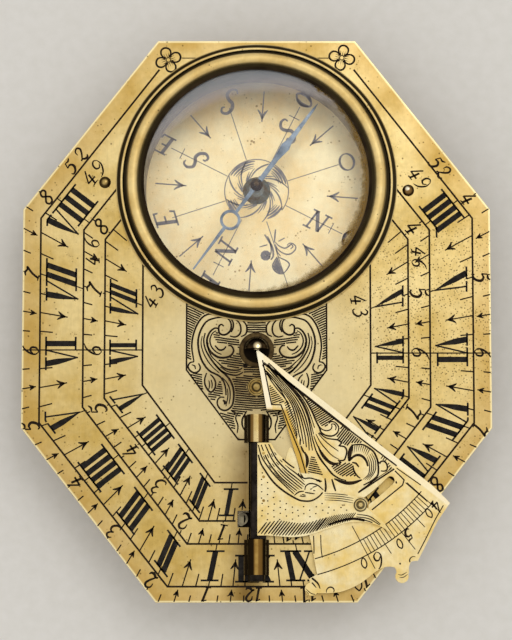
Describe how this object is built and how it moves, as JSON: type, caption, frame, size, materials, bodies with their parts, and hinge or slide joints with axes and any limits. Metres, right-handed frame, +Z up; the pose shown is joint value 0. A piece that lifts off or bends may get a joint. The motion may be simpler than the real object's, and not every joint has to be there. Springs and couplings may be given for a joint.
{
  "type": "pocket sundial",
  "caption": "Octagonal brass pocket dial with a glazed compass sunk in one end and a bird gnomon that folds flat and sets to the latitude.",
  "frame": {"origin": "below the centre of the dial plate, on the resting face of the compass box's bottom disc", "axes": "+X across the plate to the side on which the gnomon lies folded, +Y along the noon line towards the compass end, +Z up out of the dial face"},
  "size_m": [0.063, 0.076, 0.0108],
  "materials": {
    "plate_brass": "engraved, worn patina",
    "box_brass": "turned, dark patina",
    "bezel_brass": "turned and polished",
    "lining_brass": "turned, dull",
    "rose_brass": "engraved, lightly silvered",
    "gnomon_brass": "engraved, bright",
    "knuckle_brass": "turned, rubbed bright",
    "rivet_brass": "peened and rubbed",
    "dark_brass": "dark patina",
    "glass": "flat, slightly hazed",
    "needle_steel": "blued, worn",
    "post_steel": "turned",
    "dark_steel": "blackened",
    "spring_steel": "tempered, dull grey"
  },
  "bodies": {
    "case": {"dial_plate": "plate_brass", "compass_box": "box_brass", "box_base": "box_brass", "box_rivets": "rivet_brass", "bezel": "bezel_brass", "glass": "glass", "glass_retainer": "dark_brass", "box_lining": "lining_brass", "compass_rose": "rose_brass", "pivot_post": "post_steel", "post_collar": "dark_steel", "seat_washer": "rivet_brass", "toe_socket": "dark_steel", "upper_knuckle": "knuckle_brass", "lower_knuckle": "knuckle_brass", "hinge_pin": "dark_steel", "catch_spring": "spring_steel", "spring_rivet": "rivet_brass"},
    "bird": {"gnomon_arbor": "dark_steel", "bird_front": "gnomon_brass", "bird_rear": "gnomon_brass", "leaf_rivets": "rivet_brass", "eye_rivet": "rivet_brass", "eye_washer": "rivet_brass"},
    "style": {"style_plate": "gnomon_brass"},
    "compass_needle": {"needle": "needle_steel", "needle_cap": "dark_brass"}
  },
  "joints": [
    {"name": "gnomon_fold", "type": "hinge", "parent": "case", "child": "bird", "pos_m": [0, -0.0043, 0.00915], "axis": [0, -1, 0], "range_deg": [0, 90]},
    {"name": "latitude_adjust", "type": "hinge", "parent": "bird", "child": "style", "pos_m": [0, -0.0043, 0.00915], "axis": [0, 0, 1], "range_deg": [-12, 8]},
    {"name": "needle_spin", "type": "hinge", "parent": "case", "child": "compass_needle", "pos_m": [0, 0.0185, 0.006], "axis": [0, 0, 1], "continuous": true}
  ]
}
